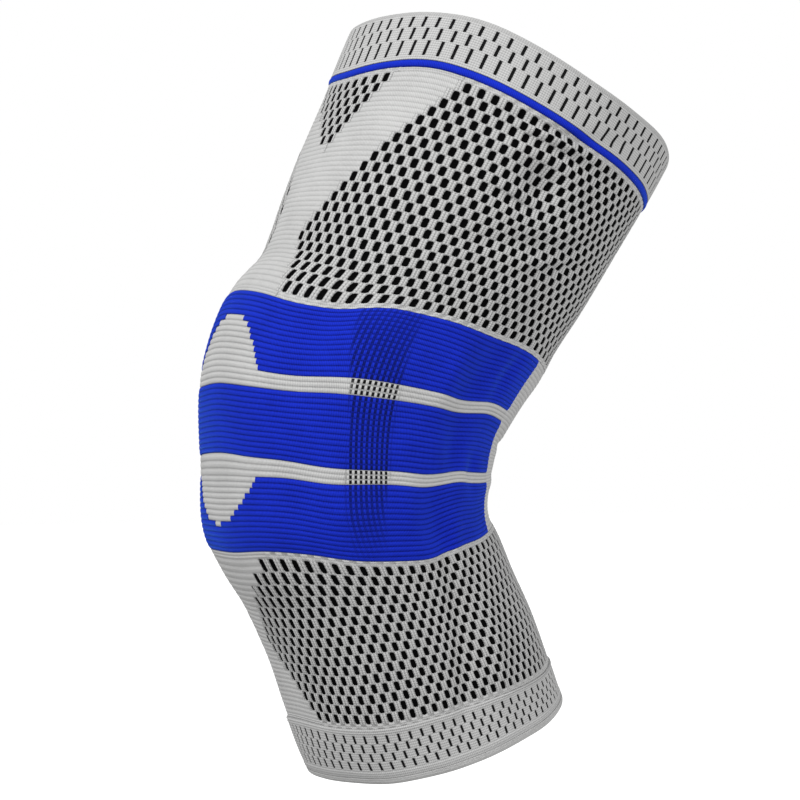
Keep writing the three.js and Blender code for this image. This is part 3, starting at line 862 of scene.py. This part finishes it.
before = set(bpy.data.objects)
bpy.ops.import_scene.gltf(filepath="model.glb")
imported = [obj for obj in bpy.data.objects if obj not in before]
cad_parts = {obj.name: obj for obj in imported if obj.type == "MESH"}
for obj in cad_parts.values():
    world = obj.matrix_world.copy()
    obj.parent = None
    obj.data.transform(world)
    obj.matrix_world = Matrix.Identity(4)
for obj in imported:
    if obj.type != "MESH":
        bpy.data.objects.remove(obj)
cad_low, cad_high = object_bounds()

# The cuffs' dashes and welts, in rows from the cuff's lower end
TOP_DASHES = ((1.8, 8.2), (8.6, 13.6), (14, 18.4))
BOTTOM_DASHES = ((3.4, 6.6), (7, 10.2), (10.6, 13.8), (14.2, 17.4))
BOTTOM_WELTS = (1, 2, 18.5, 19.5)
RIBS_PER_ROW = 2

thigh_checks = mesh_material("thigh_checks", THIGH_CELL_HALF_WIDTH)
calf_checks = mesh_material("calf_checks", CALF_CELL_HALF_WIDTH)
# shade is how dark the painted shade in a rib knit's grooves is.
panel_knit = rib_material("pale_knit", RIBS_PER_ROW, PALE, PALE_PAINTED_SHADE)
divider_knit = rib_material("divider_knit", 1, PALE, PALE_PAINTED_SHADE, shade=0.7, stay=True)
blue_knit = rib_material("blue_knit", 1, BLUE, BLUE_PAINTED_SHADE, shade=0.8, stay=True, **BLUE_GLOSS)
stripe_knit = rib_material("stripe_knit", 0.5, BLUE, BLUE_PAINTED_SHADE, shade=0.5, **BLUE_GLOSS)
top_cuff_knit = cuff_material("top_cuff_knit", TOP_DASHES)
bottom_cuff_knit = cuff_material("bottom_cuff_knit", BOTTOM_DASHES)
hem_knit = rib_material("hem_knit", 1, PALE, PALE_PAINTED_SHADE)
lining_knit = lining_material("lining", False)
mesh_lining = lining_material("mesh_lining", True)

# How the knit lies flat, off the leg: the width of a wale and the height of a row of each knit
FLAT_WALE = 1.15
MESH_ROW_HEIGHT = 3.8
RIB_HEIGHT = 2.1
COURSE_HEIGHT = 1.03


def lay_flat(cells, row_height):
    """Works out how large a piece is in the flat knit that it is cut from, and keeps none of it."""
    width, length = cells.any(axis=0).sum(), cells.any(axis=1).sum()
    flat = (float(width * FLAT_WALE * MM), float(length * row_height * MM))
    area = float(flat[0] * flat[1] * cells.sum() / (width * length))


def dress(node, zone, cells, materials, outer, inner, row_height=None, trim_rows=()):
    """Makes the knitted piece of a node, hangs it under the root and hides the node's part.

    A piece without a row height is an edging, and lay_flat is not called for it.
    """
    piece = woven(node + "_knit", zone, cells, outer, inner, trim_rows)
    for material in materials:
        piece.data.materials.append(material)
    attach(piece, "root")
    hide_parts(node)
    if row_height:
        lay_flat(cells, row_height)
    return piece


def all_cells(zone):
    return np.ones((zone.rows, zone.last - zone.first), bool)


def inner_face(wall):
    """The inner face of a wall of even thickness."""
    return lambda row: np.full(row.shape, -wall)


# Where a piece's mesh has its points: in a wale for each kind of knit, and in a row
MESH_ACROSS = (0, 0.25, 0.75)
RIB_ACROSS = (0, 0.5)
CUFF_ACROSS = (0, 0.25, 0.75)
MESH_DOWN = (0, 0.15, 0.5, 0.85)
PANEL_DOWN = (0, 0.12, 0.25, 0.38, 0.5, 0.62, 0.75, 0.88)
RIB_DOWN = (0, 0.22, 0.5, 0.78)
CUFF_DOWN = (0, 0.5)

# Thigh and calf: rows of cells, with a lower plain row at each end
THIGH_ROWS = 24
CALF_ROWS = 18
PLAIN_ROW = 1.9


def mesh_levels(rows, bottom, top):
    return [
        (0, bottom),
        (1, shifted(bottom, PLAIN_ROW)),
        (rows - 1, shifted(top, -PLAIN_ROW)),
        (rows, top),
    ]


def front_cells(zone, edges):
    """The cells of a plain front panel, from a table of its edges."""
    _, _, angle, along = zone.centres()
    low, high = zone.levels[0][1](angle), zone.levels[-1][1](angle)
    up = (along - low) / (high - low)
    left, right = (through(column(edges, 0), column(edges, side), up) for side in (1, 2))
    return (angle > left) & (angle < right)


def dress_mesh(node, zone, cells, checks, trim_rows):
    dress(node, zone, cells, (checks, mesh_lining, panel_knit), checker_relief,
          inner_face(PANEL_WALL), MESH_ROW_HEIGHT, trim_rows)


def dress_panel(node, zone, cells):
    dress(node, zone, cells, (panel_knit, lining_knit), rib_relief(RIBS_PER_ROW, RIB_RELIEF),
          inner_face(PANEL_WALL), MESH_ROW_HEIGHT)


def dress_thigh():
    levels = mesh_levels(THIGH_ROWS, upper_band_top, stripe_bottom)
    zone = Zone(levels, MESH_ACROSS, MESH_DOWN)
    _, _, angle, along = zone.centres()
    in_inset = along > stripe_bottom(angle) - inset_depth(angle)
    in_front = front_cells(zone, THIGH_FRONT_EDGES) & ~in_inset
    dress_mesh("thigh_mesh", zone, ~in_front & ~in_inset, thigh_checks, (0, THIGH_ROWS - 1))
    dress_mesh("thigh_inset", zone, in_inset, thigh_checks, (THIGH_ROWS - 1,))
    dress_panel("thigh_front_panel", Zone(levels, RIB_ACROSS, PANEL_DOWN), in_front)


def dress_calf():
    levels = mesh_levels(CALF_ROWS, bottom_cuff_top, lower_band_bottom)
    zone = Zone(levels, MESH_ACROSS, MESH_DOWN)
    in_front = front_cells(zone, CALF_FRONT_EDGES)
    dress_mesh("calf_mesh", zone, ~in_front, calf_checks, (0, CALF_ROWS - 1))
    dress_panel("calf_front_panel", Zone(levels, RIB_ACROSS, PANEL_DOWN), in_front)


# Knee: rows of ribs in its bands and dividers, from the bottom of the lower band
KNEE_RIBS = (14, 3, 13, 3, 14)
LOWER_BAND, LOWER_DIVIDER, MIDDLE_BAND, UPPER_DIVIDER, UPPER_BAND = range(5)
DIVIDER_PROUD = BAND_PROUD / 2
DRAWN_IN = 0.7
knee_rows = [0, *np.cumsum(KNEE_RIBS).tolist()]
knee_lines = (
    lower_band_bottom,
    lower_divider_bottom,
    knee_line,
    middle_band_top,
    upper_divider_top,
    upper_band_top,
)
knee_levels = list(zip(knee_rows, knee_lines))
knee_zone = Zone(knee_levels, RIB_ACROSS, RIB_DOWN, -BAND_END, BAND_END)

# The columns of dashes over the side stays: along, left angle, right angle, strength on the blue bands
STAYS = (
    (-46, 61, 75, 0),
    (-34, 64, 77, 0.35),
    (-18, 64, 80, 0.85),
    (-2, 65, 80, 0.75),
    (9, 63, 80, 0.85),
    (20, 59, 79, 0.7),
    (30, 57, 78, 0.5),
    (41, 57, 76, 0.3),
)
STAY_SOFTNESS = 1.5


def mark_stays(piece, strength=None):
    """Gives each point of a piece how strongly the dashes over the stays show there, on both sides."""
    chart = np.zeros(len(piece.data.loops) * 2, np.float32)
    piece.data.uv_layers[KNIT_MAP].uv.foreach_get("vector", chart)
    wale, row = chart.reshape(-1, 2).T
    angle = np.abs(angle_of(wale))
    along = knee_zone.along(wale, row)
    left, right, power = (np.interp(along, column(STAYS, 0), column(STAYS, k)) for k in (1, 2, 3))
    stay = power if strength is None else strength
    for past in (angle - left, right - angle):
        stay = stay * np.clip(past / STAY_SOFTNESS + 0.5, 0, 1)
    piece.data.attributes.new("stay", "FLOAT", "CORNER").data.foreach_set("value", stay.astype(np.float32))


def band_outer(proud, low, high):
    """The face of a band between two rows: its ribs, and its edges drawn in."""
    def outer(wale, row):
        edge = np.clip(np.minimum(row - low, high - row), 0, 1)
        ribs = BAND_RELIEF * ridge(row, RIB_SHARPNESS) - BAND_RELIEF / 2
        return ribs + proud * (1 - DRAWN_IN + DRAWN_IN * edge)
    return outer


def knee_cells(number):
    """The cells of a band's or a divider's rows."""
    rows = np.arange(knee_zone.rows)[:, None]
    chosen = (rows >= knee_rows[number]) & (rows < knee_rows[number + 1])
    return chosen & all_cells(knee_zone)


def dome_cells():
    """The cells between the edge of the lower dome and that of the upper one."""
    _, _, angle, along = knee_zone.centres()
    low = lower_divider_bottom(angle) - dome_rise(LOWER_DOME_RISE, angle)
    high = upper_divider_top(angle) + dome_rise(UPPER_DOME_RISE, angle)
    return (along > low) & (along < high)


def dress_band(node, cells, number):
    outer = band_outer(BAND_PROUD, knee_rows[number], knee_rows[number + 1])
    piece = dress(node, knee_zone, cells, (blue_knit, lining_knit), outer,
                  inner_face(BAND_WALL), RIB_HEIGHT)
    mark_stays(piece)


def dress_divider(node, cells, lowest, highest):
    """A divider with its dome, which reaches from the lowest band of rows to the highest."""
    outer = band_outer(DIVIDER_PROUD, knee_rows[lowest], knee_rows[highest + 1])
    piece = dress(node, knee_zone, cells, (divider_knit, lining_knit), outer,
                  inner_face(DIVIDER_WALL), RIB_HEIGHT)
    mark_stays(piece, strength=1)


def dress_knee():
    in_domes = dome_cells()
    lower, upper = knee_cells(LOWER_BAND), knee_cells(UPPER_BAND)
    dress_band("knee_band_lower", lower & ~in_domes, LOWER_BAND)
    dress_divider("knee_divider_lower", knee_cells(LOWER_DIVIDER) | (lower & in_domes), LOWER_BAND,
                  LOWER_DIVIDER)
    dress_band("knee_band_middle", knee_cells(MIDDLE_BAND), MIDDLE_BAND)
    dress_divider("knee_divider_upper", knee_cells(UPPER_DIVIDER) | (upper & in_domes), UPPER_DIVIDER,
                  UPPER_BAND)
    dress_band("knee_band_upper", upper & ~in_domes, UPPER_BAND)


def dress_back():
    zone = Zone(knee_levels, RIB_ACROSS, RIB_DOWN, BAND_END, WALES - BAND_END)
    dress("back_panel", zone, all_cells(zone), (hem_knit, lining_knit),
          rib_relief(1, RIB_RELIEF), inner_face(BACK_WALL), RIB_HEIGHT)


# Stripe, cuffs and hem
STRIPE_RIBS = 2
STRIPE_CROWN = 0.6
TOP_COURSES = 19
TOP_RIM_COURSES = 6
BOTTOM_COURSES = 20
HEM_COURSES = 6
HEM_CROWN = 3.6
HEM_RIBS_PER_COURSE = 0.5
HEM_RELIEF = 0.1
RIM_HEIGHT = 2.2
RIM_ROUNDING = 0.45


def unrounded(row):
    return 0 * row


def top_rounding(row):
    """How far into the top rim's rounding a row lies, from 0 to 1."""
    return np.clip((row - TOP_COURSES) / TOP_RIM_COURSES, 0, 1)


def hem_rounding(row):
    """How far into the hem's rounding a row lies, from 0 to 1."""
    return np.clip(1 - row / HEM_CROWN, 0, 1)


def rounded_by(share):
    """The share of the wall that a rim's rounding takes off each face."""
    return RIM_ROUNDING * (1 - np.sqrt(1 - np.clip(share, 0, 1) ** 2))


def rim_faces(wall, proud, relief, rounding=unrounded):
    """The outer and the inner face of a wall whose rim is rounded."""
    def outer(wale, row):
        share = rounding(row)
        return proud + relief(wale, row) * (1 - share) - wall * rounded_by(share)
    return outer, lambda row: proud - wall + wall * rounded_by(rounding(row))


def dress_top():
    """The blue stripe, and over it the cuff with its rounded rim."""
    zone = Zone([(0, stripe_bottom), (STRIPE_RIBS, stripe_top)], RIB_ACROSS, RIB_DOWN)
    outer, inner = rim_faces(CUFF_WALL, CUFF_PROUD, rib_relief(1 / STRIPE_RIBS, STRIPE_CROWN))
    stripe = dress("top_stripe", zone, all_cells(zone), (stripe_knit, lining_knit),
                   outer, inner)
    levels = [
        (0, stripe_top),
        (TOP_COURSES, shifted(top_rim, -RIM_HEIGHT)),
        (TOP_COURSES + TOP_RIM_COURSES, top_rim),
    ]
    zone = Zone(levels, CUFF_ACROSS, CUFF_DOWN)
    outer, inner = rim_faces(CUFF_WALL, CUFF_PROUD, dash_relief(TOP_DASHES), top_rounding)
    dress("top_cuff", zone, all_cells(zone), (top_cuff_knit, lining_knit), outer, inner,
          COURSE_HEIGHT)


def dress_bottom():
    """The rolled hem, and over it the cuff with its welts."""
    zone = Zone([(0, bottom_rim), (HEM_COURSES, hem_top)], RIB_ACROSS, CUFF_DOWN)
    outer, inner = rim_faces(HEM_WALL, HEM_PROUD, rib_relief(HEM_RIBS_PER_COURSE, HEM_RELIEF), hem_rounding)
    hem = dress("bottom_hem", zone, all_cells(zone), (hem_knit, lining_knit), outer, inner)
    zone = Zone([(0, hem_top), (BOTTOM_COURSES, bottom_cuff_top)], CUFF_ACROSS, CUFF_DOWN)
    outer, inner = rim_faces(CUFF_WALL, CUFF_PROUD, dash_relief(BOTTOM_DASHES, BOTTOM_WELTS))
    dress("bottom_cuff", zone, all_cells(zone), (bottom_cuff_knit, lining_knit), outer, inner,
          COURSE_HEIGHT)


# Stage
FLOOR_DROP = 0.2
FLOOR_SIZE = 14
FLOOR_GLOW = 0.7
FLOOR_GREY = 0.9


def plain_floor():
    """A white floor well under the sleeve, bright enough to run into the background."""
    bpy.ops.mesh.primitive_plane_add(size=FLOOR_SIZE, location=(0, 0, cad_low.z - FLOOR_DROP))
    floor = bpy.context.object
    floor.name = "floor"
    floor.visible_diffuse = False
    floor.visible_glossy = False
    material = bpy.data.materials.new("floor")
    material.use_nodes = True
    shader = material.node_tree.nodes["Principled BSDF"]
    shader.inputs["Base Color"].default_value = (FLOOR_GREY, FLOOR_GREY, FLOOR_GREY, 1)
    shader.inputs["Specular IOR Level"].default_value = 0
    shader.inputs["Emission Color"].default_value = (1, 1, 1, 1)
    shader.inputs["Emission Strength"].default_value = FLOOR_GLOW
    floor.data.materials.append(material)


def towards(azimuth, elevation):
    """The direction from the origin to something seen at an azimuth and elevation."""
    a, e = math.radians(azimuth), math.radians(elevation)
    return Vector((math.sin(a) * math.cos(e), -math.cos(a) * math.cos(e), math.sin(e)))


def soft_light(name, azimuth, elevation, distance, size, watts):
    """A round lamp, turned to the knee. Its size and distance are metres."""
    data = bpy.data.lights.new(name, "AREA")
    data.shape = "DISK"
    data.size = size
    data.energy = watts
    light = bpy.data.objects.new(name, data)
    direction = towards(azimuth, elevation)
    light.location = direction * distance
    light.rotation_euler = direction.to_track_quat("Z", "Y").to_euler()
    bpy.context.scene.collection.objects.link(light)


ROOM_LIGHT = 0.58
WHITE = 1


def studio():
    """A white background, which gives the sleeve itself only a soft light, and two large lamps."""
    world = bpy.data.worlds.new("studio")
    bpy.context.scene.world = world
    world.use_nodes = True
    tree = world.node_tree
    background = tree.nodes["Background"]
    background.inputs["Color"].default_value = (1, 1, 1, 1)
    seen = Signal(tree, tree.nodes.new("ShaderNodeLightPath").outputs["Is Camera Ray"])
    tree.links.new((seen * (WHITE - ROOM_LIGHT) + ROOM_LIGHT).socket, background.inputs["Strength"])
    soft_light("key", azimuth=18, elevation=42, distance=1.6, size=0.4, watts=17.5)
    soft_light("fill", azimuth=112, elevation=12, distance=2.2, size=0.8, watts=16)
    view = bpy.context.scene.view_settings
    view.view_transform = "Standard"
    view.look = "None"
    view.exposure = 0
    view.gamma = 1


# Camera, from the photograph's side
CAMERA_AZIMUTH = 63
CAMERA_DISTANCE = 0.95
CAMERA_CLIP = (0.05, 50)
CAMERA_LENS = 102.5
CAMERA_SHIFT = (0.06, 0.0375)


def camera():
    data = bpy.data.cameras.new("camera")
    data.lens = CAMERA_LENS
    data.shift_x, data.shift_y = CAMERA_SHIFT
    data.clip_start, data.clip_end = CAMERA_CLIP
    eye = bpy.data.objects.new("camera", data)
    direction = towards(CAMERA_AZIMUTH, 0)
    eye.location = direction * CAMERA_DISTANCE
    eye.rotation_euler = direction.to_track_quat("Z", "Y").to_euler()
    bpy.context.scene.collection.objects.link(eye)
    bpy.context.scene.camera = eye


dress_thigh()
dress_calf()
dress_knee()
dress_back()
dress_top()
dress_bottom()
plain_floor()
studio()
camera()
